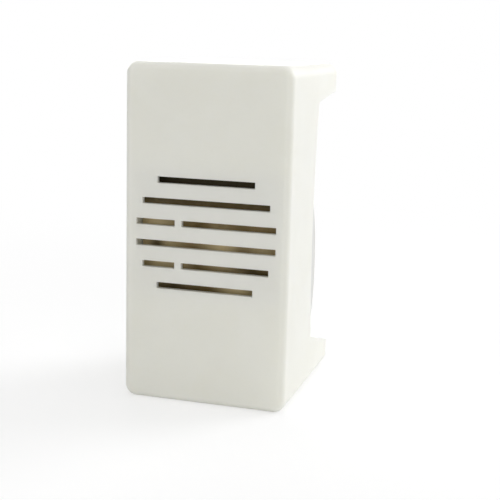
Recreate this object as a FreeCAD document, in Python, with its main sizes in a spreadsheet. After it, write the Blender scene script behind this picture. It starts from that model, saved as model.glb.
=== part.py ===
import FreeCAD, Part
import math
import os
import re
import Sketcher

# One-module electric buzzer for a modular switch plate. Millimetres.
# Frame: +X to the right seen from the front, +Y into the wall, +Z up.
# Origin: middle of the bottom of the bounding box. Each piece is drawn about the middle of
# the front face, with its depth measured back from that face, and its placement moves it.

SIZES = (
    # Outside of the cover, a one-module format
    ("module_width", 22.5),
    ("module_height", 45.0),
    ("overall_depth", 24.9),
    ("flank_depth", 14.5),
    ("flank_hollow", 1.35),
    ("corner_radius", 1.6),
    ("front_round", 1.0),
    ("top_lug_root", 5.1),
    ("top_lug_tip", 4.0),
    ("top_lug_round", 1.0),
    ("bottom_lug_root", 6.8),
    ("bottom_lug_tip", 3.7),
    ("bottom_lug_round", 0.6),
    # Walls of the cover
    ("front_wall", 1.6),
    ("side_wall", 1.3),
    ("end_wall", 1.5),
    ("cavity_corner", 1.0),
    # Sound slots, whose ends lie on a circle
    ("grille_height", 0.4),
    ("grille_radius", 9.65),
    ("grille_wall", 0.8),
    ("grille_margin", 0.8),
    ("slot_pitch", 2.81),
    ("slot_height", 0.85),
    ("bridge_width", 0.9),
    ("bridge_offset", 3.7),
    # Catch windows in the lugs
    ("latch_width", 8.0),
    ("latch_length", 2.0),
    ("latch_depth", 19.4),
    # Screw bosses and seat ribs inside the cover
    ("boss_inset", 2.6),
    ("boss_radius", 2.3),
    ("pilot_radius", 1.25),
    ("pilot_depth", 4.5),
    ("rib_width", 0.9),
    ("rib_reach", 0.9),
    ("rib_height", 17.4),
    # Rear base
    ("base_clearance", 0.1),
    ("flange_depth", 10.6),
    ("flange_wall", 1.6),
    ("base_wall", 1.2),
    ("base_round", 0.7),
    ("barrier_wall", 1.6),
    ("block_top", 15.2),
    ("block_bottom", 15.8),
    ("bulge_start", 4.5),
    ("bulge_end", 20.2),
    ("bulge_radius", 22.7),
    ("bay_clearance", 0.6),
    ("guide_length", 6.0),
    ("guide_clearance", 0.15),
    # Armature and its stop
    ("armature_gap", 1.0),
    ("armature_thickness", 1.0),
    ("armature_width", 19.3),
    ("armature_neck", 14.6),
    ("neck_length", 3.0),
    ("armature_reach", 21.8),
    ("armature_overlap", 0.8),
    ("armature_tip", 11.0),
    ("tip_length", 3.4),
    ("armature_round", 1.2),
    ("pad_width", 6.0),
    ("pad_tall", 2.4),
    ("pad_height", 10.2),
    ("pad_gap", 0.05),
    ("rim_wall", 0.5),
    ("rim_reach", 0.45),
    ("rim_clearance", 0.05),
    # Magnet: pole, bobbin, winding and yoke
    ("pole_gap", 0.7),
    ("pole_proud", 0.5),
    ("coil_height", 2.6),
    ("core_radius", 2.5),
    ("core_bevel", 0.2),
    ("spigot_radius", 1.7),
    ("core_clearance", 0.05),
    ("rivet_clearance", 0.02),
    ("bobbin_length", 11.4),
    ("bobbin_flange", 0.8),
    ("bobbin_radius", 7.3),
    ("hub_wall", 0.85),
    ("winding_radius", 6.4),
    ("tape_thickness", 0.2),
    ("wrap_clearance", 0.02),
    ("leg_clearance", 0.4),
    ("yoke_thickness", 1.6),
    ("yoke_width", 15.0),
    ("yoke_drop", 8.2),
    ("yoke_bend", 0.3),
    ("yoke_corner", 2.0),
    # Pins of the bobbin
    ("pin_block_width", 8.4),
    ("pin_block_depth", 2.2),
    ("pin_block_tall", 1.6),
    ("pin_size", 0.6),
    ("pin_offset", 3.0),
    ("pin_drop", 7.8),
    ("pin_length", 4.4),
    ("pin_seat", 1.6),
    # Leaf spring and its rivets
    ("spring_thickness", 0.25),
    ("spring_width", 9.6),
    ("spring_bend", 0.45),
    ("spring_length", 10.0),
    ("tongue_length", 3.4),
    ("window_width", 3.2),
    ("window_length", 1.8),
    ("rivet_radius", 0.8),
    ("rivet_offset", 3.2),
    ("rivet_head_radius", 1.3),
    ("rivet_head", 0.4),
    ("rivet_tail_radius", 1.1),
    ("spring_rivet_setback", 6.2),
    ("armature_rivet_drop", 1.3),
    # Screws that hold the yoke and the base
    ("fixing_radius", 1.2),
    ("fixing_fit", 0.05),
    ("fixing_clearance", 0.25),
    ("fixing_head_radius", 2.2),
    ("fixing_head", 1.5),
    ("yoke_screw_offset", 5.2),
    ("yoke_screw_rise", 5.4),
    ("base_screw_reach", 5.6),
    ("recess_depth", 0.8),
    ("recess_width", 0.6),
    ("recess_length", 2.4),
    # Terminals
    ("terminal_depth", 16.0),
    ("terminal_thickness", 1.0),
    ("clamp_clearance", 0.325),
    ("terminal_drop", 4.2),
    ("terminal_reach", 3.2),
    ("terminal_clearance", 0.1),
    ("collar_radius", 2.2),
    ("collar_length", 1.1),
    ("thread_radius", 1.5),
    ("thread_clearance", 0.05),
    ("well_wall", 0.8),
    ("well_length", 3.6),
    ("tail_width", 1.6),
    ("tail_length", 4.6),
    ("clamp_thickness", 0.9),
    ("clamp_tall", 6.2),
    ("clamp_hole_radius", 1.7),
    ("lip_wall", 0.6),
    ("lip_reach", 0.8),
    ("lip_clearance", 0.2),
    ("head_radius", 2.75),
    ("head_height", 1.7),
    ("head_slot_width", 0.8),
    ("head_slot_depth", 0.9),
    ("screw_length", 5.6),
    # Leads from the pins to the terminal tails
    ("lead_radius", 0.18),
    ("lead_setback", 0.9),
)

V = FreeCAD.Vector
doc = FreeCAD.newDocument("ElectricBuzzer")
sheet = doc.addObject("Spreadsheet::Sheet", "Sizes")
for row, (alias, number) in enumerate(SIZES, start=1):
    sheet.set(f"A{row}", alias.replace("_", " "))
    sheet.set(f"B{row}", str(number))
    sheet.setAlias(f"B{row}", alias)
doc.recompute()

# Points closer than this count as one place when edges are picked
touching = 0.05

pieces = []


def cell(formula):
    """The formula with the sheet's name before every size in it."""
    return re.sub(r"\b([a-z]+_[a-z_]+)\b", r"Sizes.\1", formula)


def value(formula):
    """The number, in millimetres, that a formula of sizes gives."""
    result = sheet.evalExpression(cell(formula))
    return float(getattr(result, "Value", result))


def minus(formula):
    return f"-({formula})"


# Places that several pieces share, as formulas: depths from the front face
armature_front = "(front_wall + armature_gap)"
armature_rear = f"({armature_front} + armature_thickness)"
pole_face = f"({armature_rear} + pole_gap)"
bobbin_front = f"({pole_face} + pole_proud)"
yoke_front = f"({bobbin_front} + bobbin_length)"
yoke_rear = f"({yoke_front} + yoke_thickness)"
block_rear = f"({yoke_rear} + base_wall)"
flange_rear = "(flange_depth + flange_wall)"
terminal_rear = "(terminal_depth + terminal_thickness)"
clamp_rear = f"({terminal_rear} + clamp_thickness)"

# Half widths, from the middle of the module
half_width = "(module_width / 2)"
cavity_half = "(module_width / 2 - side_wall)"
base_half = f"({cavity_half} - base_clearance)"
bay_half = f"({base_half} - base_wall)"
pocket_width = f"({bay_half} - barrier_wall / 2)"
terminal_across = f"((barrier_wall / 2 + {bay_half}) / 2)"
clamp_half = f"({pocket_width} / 2 - clamp_clearance)"
terminal_half = f"({clamp_half} - lip_wall - lip_clearance)"
tail_inner = f"({terminal_across} + {terminal_half} - tail_width)"

# Heights, from the middle of the module
half_height = "(module_height / 2)"
cavity_end = "(module_height / 2 - end_wall)"
base_end = f"({cavity_end} - base_clearance)"
boss_height = f"({cavity_end} - boss_inset)"
leg_inner = "(coil_height + bobbin_radius + leg_clearance)"
leg_outer = f"({leg_inner} + yoke_thickness)"
yoke_bottom = "(coil_height - yoke_drop)"
bay_bottom = f"({yoke_bottom} - bay_clearance)"
pocket_top = f"({bay_bottom} - base_wall)"
screw_height = f"({pocket_top} - terminal_drop)"
tail_top = f"({pocket_top} - terminal_clearance)"
terminal_bottom = f"({screw_height} - terminal_reach)"
pin_height = "(coil_height - pin_drop)"

# Centre of the curve that the back of the base bulges on, from its two ends and its radius
bulge_rise = "(bulge_start + block_bottom)"
bulge_chord = f"sqrt({bulge_rise}^2 + ({block_rear} - bulge_end)^2)"
bulge_reach = f"sqrt(bulge_radius^2 - {bulge_chord}^2 / 4)"
bulge_depth = f"((bulge_end + {block_rear}) / 2 - {bulge_reach} * {bulge_rise} / {bulge_chord})"
bulge_lean = f"({bulge_reach} * ({block_rear} - bulge_end) / {bulge_chord})"
bulge_height = f"((bulge_start - block_bottom) / 2 + {bulge_lean})"


def new_body(label):
    """A piece drawn about the middle of the front face, moved to the module's own frame."""
    body = doc.addObject("PartDesign::Body", label)
    body.Label = label
    body.setExpression("Placement.Base.y", cell("-overall_depth / 2"))
    body.setExpression("Placement.Base.z", cell(half_height))
    pieces.append(body)
    return body


def new_sketch(body, name, role, across="0", up="0", out="0"):
    """A sketch on one of the body's own planes, shifted along the sketch's own axes."""
    sketch = body.newObject("Sketcher::SketchObject", f"{body.Label}_{name}")
    plane = next(item for item in body.Origin.OriginFeatures if item.Role == role)
    sketch.AttachmentSupport = [(plane, "")]
    sketch.MapMode = "FlatFace"
    for axis, formula in (("x", across), ("y", up), ("z", out)):
        sketch.setExpression(f"AttachmentOffset.Base.{axis}", cell(formula))
    return sketch


def facing(body, name, depth):
    """A sketch seen from the front, lying at a depth: across is X and up is Z."""
    return new_sketch(body, name, "XZ_Plane", out=minus(depth))


def profile(body, name, across="0", depth="0", height="0"):
    """A sketch seen from the right side: its first axis runs back and its second is Z."""
    return new_sketch(body, name, "YZ_Plane", across=depth, up=height, out=across)


def hold(sketch, geometry, point, across, up):
    """Hold one point of a sketch at two formulas."""
    for kind, axis, formula in (("DistanceX", -2, across), ("DistanceY", -1, up)):
        distance = value(formula)
        if distance == 0:
            sketch.addConstraint(Sketcher.Constraint("PointOnObject", geometry, point, axis))
        else:
            index = sketch.addConstraint(Sketcher.Constraint(kind, -1, 1, geometry, point, distance))
            sketch.setExpression(f"Constraints[{index}]", cell(formula))


def loop(sketch, corners, arcs=None):
    """A closed outline through the corners. arcs maps a side's number to its radius and its
    turn, which is 1 where the outline turns left along it and -1 where it turns right."""
    arcs = arcs or {}
    first = sketch.GeometryCount
    points = [V(value(across), value(up), 0) for across, up in corners]
    ends = []
    for number, start in enumerate(points):
        finish = points[(number + 1) % len(points)]
        if number not in arcs:
            sketch.addGeometry(Part.LineSegment(start, finish))
            ends.append((1, 2))
            continue
        radius, turn = arcs[number]
        chord = finish - start
        rise = math.sqrt(value(radius) ** 2 - chord.Length ** 2 / 4)
        normal = V(-chord.y, chord.x, 0).normalize()
        centre = start + chord / 2 + normal * rise * turn
        begin, close = (start, finish) if turn > 0 else (finish, start)
        angles = [math.atan2(item.y - centre.y, item.x - centre.x) for item in (begin, close)]
        circle = Part.Circle(centre, V(0, 0, 1), value(radius))
        sketch.addGeometry(Part.ArcOfCircle(circle, *angles))
        ends.append((1, 2) if turn > 0 else (2, 1))
    for number, (across, up) in enumerate(corners):
        following = (number + 1) % len(points)
        joined = (first + number, ends[number][1], first + following, ends[following][0])
        sketch.addConstraint(Sketcher.Constraint("Coincident", *joined))
        hold(sketch, first + number, ends[number][0], across, up)
    for number, (radius, turn) in arcs.items():
        index = sketch.addConstraint(Sketcher.Constraint("Radius", first + number, value(radius)))
        sketch.setExpression(f"Constraints[{index}]", cell(radius))


def box(sketch, left, right, bottom, top):
    loop(sketch, ((left, bottom), (right, bottom), (right, top), (left, top)))


def rounded_box(sketch, half_across, half_up, radius):
    """A rectangle about the sketch's origin with four equal round corners."""
    inner_across = f"({half_across} - {radius})"
    inner_up = f"({half_up} - {radius})"
    corners = (
        (minus(inner_across), minus(half_up)),
        (inner_across, minus(half_up)),
        (half_across, minus(inner_up)),
        (half_across, inner_up),
        (inner_across, half_up),
        (minus(inner_across), half_up),
        (minus(half_across), inner_up),
        (minus(half_across), minus(inner_up)),
    )
    loop(sketch, corners, {side: (radius, 1) for side in (1, 3, 5, 7)})


def circle(sketch, across, up, radius):
    place = V(value(across), value(up), 0)
    index = sketch.addGeometry(Part.Circle(place, V(0, 0, 1), value(radius)))
    hold(sketch, index, 3, across, up)
    size = sketch.addConstraint(Sketcher.Constraint("Radius", index, value(radius)))
    sketch.setExpression(f"Constraints[{size}]", cell(radius))


def body_of(sketch):
    return sketch.getParentGeoFeatureGroup()


def extrude(kind, sketch, length, symmetric, reverse):
    body = body_of(sketch)
    feature = body.newObject(f"PartDesign::{kind}", f"{sketch.Name}_{kind.lower()}")
    feature.Profile = sketch
    feature.setExpression("Length", cell(length))
    feature.SideType = "Symmetric" if symmetric else "One side"
    feature.Reversed = reverse
    doc.recompute()
    return feature


def pad(sketch, length, symmetric=False, reverse=False):
    return extrude("Pad", sketch, length, symmetric, reverse)


def cut(sketch, length, symmetric=False, reverse=False):
    """Cut a pocket, and stop if it takes nothing away."""
    before = body_of(sketch).Shape.Volume
    feature = extrude("Pocket", sketch, length, symmetric, reverse)
    if feature.Shape.Volume > before - 1e-4:
        raise RuntimeError(f"{sketch.Label} cuts nothing")
    return feature


def pad_back(sketch, length):
    """Grow a facing sketch towards the wall."""
    return pad(sketch, length, reverse=True)


def pad_across(sketch, width):
    """Grow a profile equally to the left and the right."""
    return pad(sketch, width, symmetric=True)


def cut_across(sketch, width):
    return cut(sketch, width, symmetric=True)


def turned(sketch, axis="H_Axis"):
    """Turn a profile into a round piece."""
    feature = body_of(sketch).newObject("PartDesign::Revolution", f"{sketch.Name}_turned")
    feature.Profile = sketch
    feature.ReferenceAxis = (sketch, [axis])
    feature.Angle = 360
    doc.recompute()
    return feature


def dress(kind, feature, size, test):
    """Fillet or chamfer the edges of a feature whose middles pass a test."""
    names = []
    for number, edge in enumerate(feature.Shape.Edges, start=1):
        middle = edge.valueAt((edge.FirstParameter + edge.LastParameter) / 2)
        if test(middle, edge):
            names.append(f"Edge{number}")
    if not names:
        raise RuntimeError(f"{feature.Label} has no edge to dress")
    body = feature.getParentGeoFeatureGroup()
    dressed = body.newObject(f"PartDesign::{kind}", f"{feature.Name}_{kind.lower()}")
    dressed.Base = (feature, names)
    dressed.setExpression("Radius" if kind == "Fillet" else "Size", cell(size))
    doc.recompute()
    return dressed


def mirrored(features, role):
    """Repeat features on the other side of one of the body's own planes."""
    body = features[0].getParentGeoFeatureGroup()
    mirror = body.newObject("PartDesign::Mirrored", f"{features[0].Name}_mirrored")
    plane = next(item for item in body.Origin.OriginFeatures if item.Role == role)
    mirror.Originals = features
    mirror.MirrorPlane = (plane, [""])
    body.Tip = mirror
    doc.recompute()
    return mirror


def near(number, formula):
    return abs(number - value(formula)) < touching


def stud(body, depth, height, across, steps, axis="H_Axis"):
    """A stepped round piece. steps pairs each radius with where its step ends, measured
    along the axis from the piece's own start."""
    sketch = profile(body, "turning", across=across, depth=depth, height=height)
    outline = [("0", "0")]
    start = "0"
    for radius, finish in steps:
        outline += [(start, radius), (finish, radius)]
        start = finish
    outline.append((start, "0"))
    if axis == "V_Axis":
        outline = [(radius, along) for along, radius in outline]
    loop(sketch, outline)
    return turned(sketch, axis)


def front_cover():
    """Moulded cap: slotted front, open back, two flanks and the lugs above and below."""
    body = new_body("front_cover")
    outline = facing(body, "outline", "0")
    rounded_box(outline, half_width, half_height, "corner_radius")
    pad_back(outline, "overall_depth")

    # The flank stops short between the lugs, on a shallow hollow curve
    lower_root = "(bottom_lug_root - module_height / 2)"
    upper_root = "(module_height / 2 - top_lug_root)"
    lower_tip = "(bottom_lug_tip - module_height / 2)"
    upper_tip = "(module_height / 2 - top_lug_tip)"
    beyond = "(1.1 * overall_depth)"
    half_span = f"(({upper_root} - {lower_root}) / 2)"
    hollow_radius = f"(({half_span}^2 + flank_hollow^2) / (2 * flank_hollow))"
    gap = profile(body, "flank_gap")
    gap_corners = (
        ("flank_depth", lower_root),
        ("overall_depth", lower_tip),
        (beyond, lower_tip),
        (beyond, upper_tip),
        ("overall_depth", upper_tip),
        ("flank_depth", upper_root),
    )
    loop(gap, gap_corners, {5: (hollow_radius, 1)})
    cut_across(gap, "2 * module_width")

    # Round ends of the two lugs
    for name, sign, radius in (("top", 1, "top_lug_round"), ("bottom", -1, "bottom_lug_round")):
        end = f"({sign} * module_height / 2)"
        level = f"({sign} * (module_height / 2 - {radius}))"
        outside = f"({sign} * 0.55 * module_height)"
        start = f"(overall_depth - {radius})"
        corner = profile(body, f"{name}_lug_corner")
        corners = (
            ("overall_depth", level),
            (beyond, level),
            (beyond, outside),
            (start, outside),
            (start, end),
        )
        loop(corner, corners, {4: (radius, -sign)})
        lug = cut_across(corner, "2 * module_width")

    dress("Fillet", lug, "front_round", lambda middle, edge: middle.y < 1e-4)
    cavity = facing(body, "cavity", "front_wall")
    rounded_box(cavity, cavity_half, cavity_end, "cavity_corner")
    cut(cavity, "overall_depth")
    sound_slots(body)

    # Screw bosses and seat ribs carry the rear base
    seats = facing(body, "seats", "front_wall")
    for side in (-1, 1):
        circle(seats, "0", f"({side} * {boss_height})", "boss_radius")
        wall = f"({side} * ({cavity_half} + side_wall / 2))"
        face = f"({side} * ({cavity_half} - rib_reach))"
        left, right = (face, wall) if side > 0 else (wall, face)
        for level in (-1, 1):
            bottom = f"({level} * rib_height - rib_width / 2)"
            top = f"({level} * rib_height + rib_width / 2)"
            box(seats, left, right, bottom, top)
    pad_back(seats, "flange_depth - front_wall")
    pilots = facing(body, "pilots", "pilot_depth")
    for side in (-1, 1):
        circle(pilots, "0", f"({side} * {boss_height})", "pilot_radius")
    cut(pilots, "flange_depth")

    # Low rim that keeps the rubber stop in place
    rim = facing(body, "stop_rim", "front_wall")
    for grow in ("(rim_clearance + rim_wall)", "rim_clearance"):
        across = f"(pad_width / 2 + {grow})"
        up = f"(pad_tall / 2 + {grow})"
        box(rim, minus(across), across, f"-pad_height - {up}", f"-pad_height + {up}")
    pad_back(rim, "rim_reach")

    # Windows in both lugs, where the mounting frame's catches engage
    windows = new_sketch(body, "catch_windows", "XY_Plane")
    near_edge = "(latch_depth - latch_length / 2)"
    far_edge = "(latch_depth + latch_length / 2)"
    box(windows, "-latch_width / 2", "latch_width / 2", near_edge, far_edge)
    cut(windows, "2 * module_height", symmetric=True)


def sound_slots(body):
    """Six level slots. Their ends lie on a circle, and a bridge splits the third and fifth.
    The wall is thinner behind them, across the whole cavity."""
    rows = 6
    bridged = (2, 4)
    relief = facing(body, "grille_relief", "grille_wall")
    reach = f"({(rows - 1) / 2} * slot_pitch + slot_height / 2 + grille_margin)"
    low = f"(grille_height - {reach})"
    high = f"(grille_height + {reach})"
    box(relief, minus(cavity_half), cavity_half, low, high)
    cut(relief, "front_wall - grille_wall")

    slots = facing(body, "sound_slots", "0")
    bridge_left = "(-bridge_offset - bridge_width / 2)"
    bridge_right = "(-bridge_offset + bridge_width / 2)"
    for row in range(rows):
        rise = f"({(rows - 1) / 2 - row} * slot_pitch)"
        half = f"sqrt(grille_radius^2 - {rise}^2)"
        bottom = f"grille_height + {rise} - slot_height / 2"
        top = f"grille_height + {rise} + slot_height / 2"
        if row in bridged:
            box(slots, minus(half), bridge_left, bottom, top)
            box(slots, bridge_right, half, bottom, top)
        else:
            box(slots, minus(half), half, bottom, top)
    cut(slots, "grille_wall")


def rear_base():
    """Moulded tray: flange, deep bay for the magnet and two terminal pockets behind."""
    body = new_body("rear_base")
    section = profile(body, "section")
    corners = (
        ("flange_depth", minus(base_end)),
        (flange_rear, minus(base_end)),
        (flange_rear, "-block_bottom"),
        ("bulge_end", "-block_bottom"),
        (block_rear, "bulge_start"),
        (block_rear, "block_top"),
        (flange_rear, "block_top"),
        (flange_rear, base_end),
        ("flange_depth", base_end),
    )
    loop(section, corners, {3: ("bulge_radius", 1)})
    block = pad_across(section, f"2 * {base_half}")

    def back_edge(middle, edge):
        on_side = near(abs(middle.x), base_half)
        across_back = near(middle.z, "block_top") or near(middle.z, "-block_bottom")
        return middle.y > value(block_rear) - touching and (on_side or across_back)

    rounded = dress("Fillet", block, "base_round", back_edge)

    def flange_corner(middle, edge):
        return near(abs(middle.x), base_half) and near(abs(middle.z), base_end)

    dress("Fillet", rounded, "cavity_corner", flange_corner)

    # Bay for the magnet, open to the front and hollowed behind the bulge, and the terminal floor
    bay = profile(body, "bay")
    bay_top = "(block_top - base_wall)"
    bay_low = "(base_wall - block_bottom)"
    floor_front = "(terminal_depth - base_wall)"
    inner_radius = "(bulge_radius - base_wall)"
    deepest = f"({bulge_depth} + sqrt({inner_radius}^2 - ({bay_bottom} - {bulge_height})^2))"
    recess_top = f"({bulge_height} + sqrt({inner_radius}^2 - ({yoke_rear} - {bulge_depth})^2))"
    bay_corners = (
        ("flange_depth", bay_low),
        (floor_front, bay_low),
        (floor_front, bay_bottom),
        (deepest, bay_bottom),
        (yoke_rear, recess_top),
        (yoke_rear, bay_top),
        ("flange_depth", bay_top),
    )
    loop(bay, bay_corners, {3: (inner_radius, 1)})
    cut_across(bay, f"2 * {bay_half}")

    # Terminal pockets, open to the back and below, with a barrier between them
    pockets = facing(body, "pockets", "terminal_depth")
    below = "-module_height / 2"
    box(pockets, "barrier_wall / 2", bay_half, below, pocket_top)
    box(pockets, minus(bay_half), "-barrier_wall / 2", below, pocket_top)
    cut(pockets, "overall_depth")

    # Wells that take the screw ends, and slots for the terminal tails
    bore = "(collar_radius + terminal_clearance)"
    wells = facing(body, "wells", "terminal_depth - base_wall - well_length")
    for side in (-1, 1):
        circle(wells, f"({side} * {terminal_across})", screw_height, f"({bore} + well_wall)")
    pad_back(wells, "well_length + base_wall")
    bores = facing(body, "well_bores", "terminal_depth - base_wall - well_length + well_wall")
    slots = facing(body, "tail_slots", "terminal_depth - base_wall")
    inner = f"({tail_inner} - terminal_clearance)"
    outer = f"({tail_inner} + tail_width + terminal_clearance)"
    slot_low = f"({tail_top} - terminal_thickness - terminal_clearance)"
    for side in (-1, 1):
        circle(bores, f"({side} * {terminal_across})", screw_height, bore)
        left, right = (inner, outer) if side > 0 else (minus(outer), minus(inner))
        box(slots, left, right, slot_low, pocket_top)
    cut(bores, "well_length + base_wall")
    cut(slots, "base_wall")

    # Guides beside the yoke
    guides = facing(body, "yoke_guides", flange_rear)
    guide_face = "(yoke_width / 2 + guide_clearance)"
    guide_wall = f"({bay_half} + base_wall / 2)"
    low = "(coil_height - guide_length / 2)"
    high = "(coil_height + guide_length / 2)"
    box(guides, guide_face, guide_wall, low, high)
    box(guides, minus(guide_wall), minus(guide_face), low, high)
    pad_back(guides, f"{yoke_rear} - {flange_rear}")

    # Holes for the screws that hold the yoke and the cover
    yoke_holes = facing(body, "yoke_screw_holes", yoke_rear)
    cover_holes = facing(body, "cover_screw_holes", "flange_depth")
    hole = "(fixing_radius + fixing_clearance)"
    for side in (-1, 1):
        circle(yoke_holes, f"({side} * yoke_screw_offset)", "coil_height + yoke_screw_rise", hole)
        circle(cover_holes, "0", f"({side} * {boss_height})", hole)
    cut(yoke_holes, "base_wall")
    cut(cover_holes, "flange_wall")


def yoke_frame():
    """Soft iron strip bent to an L: a back plate behind the coil and a leg above it."""
    body = new_body("yoke_frame")
    section = profile(body, "section")
    outer_bend = "(yoke_bend + yoke_thickness)"
    corners = (
        (armature_rear, leg_inner),
        (f"({yoke_front} - yoke_bend)", leg_inner),
        (yoke_front, f"({leg_inner} - yoke_bend)"),
        (yoke_front, yoke_bottom),
        (yoke_rear, yoke_bottom),
        (yoke_rear, f"({leg_outer} - {outer_bend})"),
        (f"({yoke_rear} - {outer_bend})", leg_outer),
        (armature_rear, leg_outer),
    )
    loop(section, corners, {1: ("yoke_bend", -1), 5: (outer_bend, 1)})
    strip = pad_across(section, "yoke_width")

    def lower_corner(middle, edge):
        return near(middle.z, yoke_bottom) and near(abs(middle.x), "yoke_width / 2")

    dress("Fillet", strip, "yoke_corner", lower_corner)
    holes = facing(body, "plate_holes", yoke_front)
    circle(holes, "0", "coil_height", "(spigot_radius + rivet_clearance)")
    for side in (-1, 1):
        across = f"({side} * yoke_screw_offset)"
        circle(holes, across, "coil_height + yoke_screw_rise", "(fixing_radius + fixing_fit)")
    cut(holes, "yoke_thickness")
    rivet_holes = new_sketch(body, "rivet_holes", "XY_Plane", out=leg_inner)
    for side in (-1, 1):
        across = f"({side} * rivet_offset)"
        back = f"({armature_rear} + spring_rivet_setback)"
        circle(rivet_holes, across, back, "(rivet_radius + rivet_clearance)")
    cut(rivet_holes, "yoke_thickness", reverse=True)


def coil_core():
    """Round pole with a spigot riveted into the back plate."""
    body = new_body("coil_core")
    steps = (
        ("core_radius", f"{yoke_front} - {pole_face}"),
        ("spigot_radius", f"{yoke_rear} - {pole_face}"),
    )
    pole = stud(body, pole_face, "coil_height", "0", steps)

    def face_rim(middle, edge):
        return near(middle.y, pole_face) and near(abs(middle.z - value("coil_height")), "core_radius")

    dress("Chamfer", pole, "core_bevel", face_rim)


def coil_bobbin():
    """Spool with two round cheeks and a block below that carries the pins."""
    body = new_body("coil_bobbin")
    bore = "(core_radius + core_clearance)"
    hub = f"({bore} + hub_wall)"
    far = "(bobbin_length - bobbin_flange)"
    spool = profile(body, "spool", depth=bobbin_front, height="coil_height")
    corners = (
        ("0", bore),
        ("bobbin_length", bore),
        ("bobbin_length", "bobbin_radius"),
        (far, "bobbin_radius"),
        (far, hub),
        ("bobbin_flange", hub),
        ("bobbin_flange", "bobbin_radius"),
        ("0", "bobbin_radius"),
    )
    loop(spool, corners)
    turned(spool)
    block = facing(body, "pin_block", f"{yoke_front} - pin_block_depth")
    low = f"({pin_height} - pin_block_tall / 2)"
    high = f"({pin_height} + pin_block_tall / 2)"
    box(block, "-pin_block_width / 2", "pin_block_width / 2", low, high)
    pad_back(block, "pin_block_depth")
    sockets = facing(body, "pin_sockets", f"{yoke_front} - pin_block_depth")
    half = "(pin_size / 2 + rivet_clearance)"
    for side in (-1, 1):
        left = f"({side} * pin_offset - {half})"
        right = f"({side} * pin_offset + {half})"
        box(sockets, left, right, f"({pin_height} - {half})", f"({pin_height} + {half})")
    cut(sockets, "pin_seat")


def wrap(label, inner, outer):
    """A plain sleeve round the hub between the two cheeks of the bobbin."""
    body = new_body(label)
    start = f"({bobbin_front} + bobbin_flange + wrap_clearance)"
    length = "(bobbin_length - 2 * bobbin_flange - 2 * wrap_clearance)"
    ring = profile(body, "ring", depth=start, height="coil_height")
    box(ring, "0", length, inner, outer)
    turned(ring)


def bobbin_pins():
    """Two square pins on which the winding ends and the leads begin."""
    body = new_body("bobbin_pins")
    start = f"({yoke_front} - pin_block_depth + pin_seat - pin_length)"
    section = facing(body, "section", start)
    half = "(pin_size / 2)"
    low = f"({pin_height} - {half})"
    high = f"({pin_height} + {half})"
    box(section, f"(pin_offset - {half})", f"(pin_offset + {half})", low, high)
    pin = pad_back(section, "pin_length")
    mirrored([pin], "YZ_Plane")


def armature():
    """Steel plate in front of the pole, hinged on the end of the yoke's leg."""
    body = new_body("armature")
    top = f"({leg_inner} + armature_overlap)"
    shoulder = f"({leg_inner} - neck_length)"
    bottom = f"({leg_inner} - armature_reach)"
    taper = f"({bottom} + tip_length)"
    right_side = (
        ("armature_tip / 2", bottom),
        ("armature_width / 2", taper),
        ("armature_width / 2", shoulder),
        ("armature_neck / 2", shoulder),
        ("armature_neck / 2", top),
    )
    left_side = tuple((minus(across), up) for across, up in reversed(right_side))
    outline = facing(body, "outline", armature_front)
    loop(outline, right_side + left_side)
    plate = pad_back(outline, "armature_thickness")

    def plate_corner(middle, edge):
        along_depth = near(edge.Length, "armature_thickness")
        at_half = near(middle.y, f"({armature_front} + armature_thickness / 2)")
        return along_depth and at_half and middle.z < value(shoulder) - touching

    dress("Fillet", plate, "armature_round", plate_corner)
    holes = facing(body, "rivet_holes", armature_front)
    for side in (-1, 1):
        across = f"({side} * rivet_offset)"
        up = f"({leg_inner} - armature_rivet_drop)"
        circle(holes, across, up, "(rivet_radius + rivet_clearance)")
    cut(holes, "armature_thickness")


def armature_rivets():
    """Two rivets through the spring's tongue and the armature."""
    body = new_body("armature_rivets")
    head = f"({armature_front} - spring_thickness - rivet_head)"
    shank_end = "(rivet_head + spring_thickness + armature_thickness)"
    steps = (
        ("rivet_head_radius", "rivet_head"),
        ("rivet_radius", shank_end),
        ("rivet_tail_radius", f"({shank_end} + rivet_head)"),
    )
    height = f"({leg_inner} - armature_rivet_drop)"
    rivet = stud(body, head, height, "rivet_offset", steps)
    mirrored([rivet], "YZ_Plane")


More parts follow.
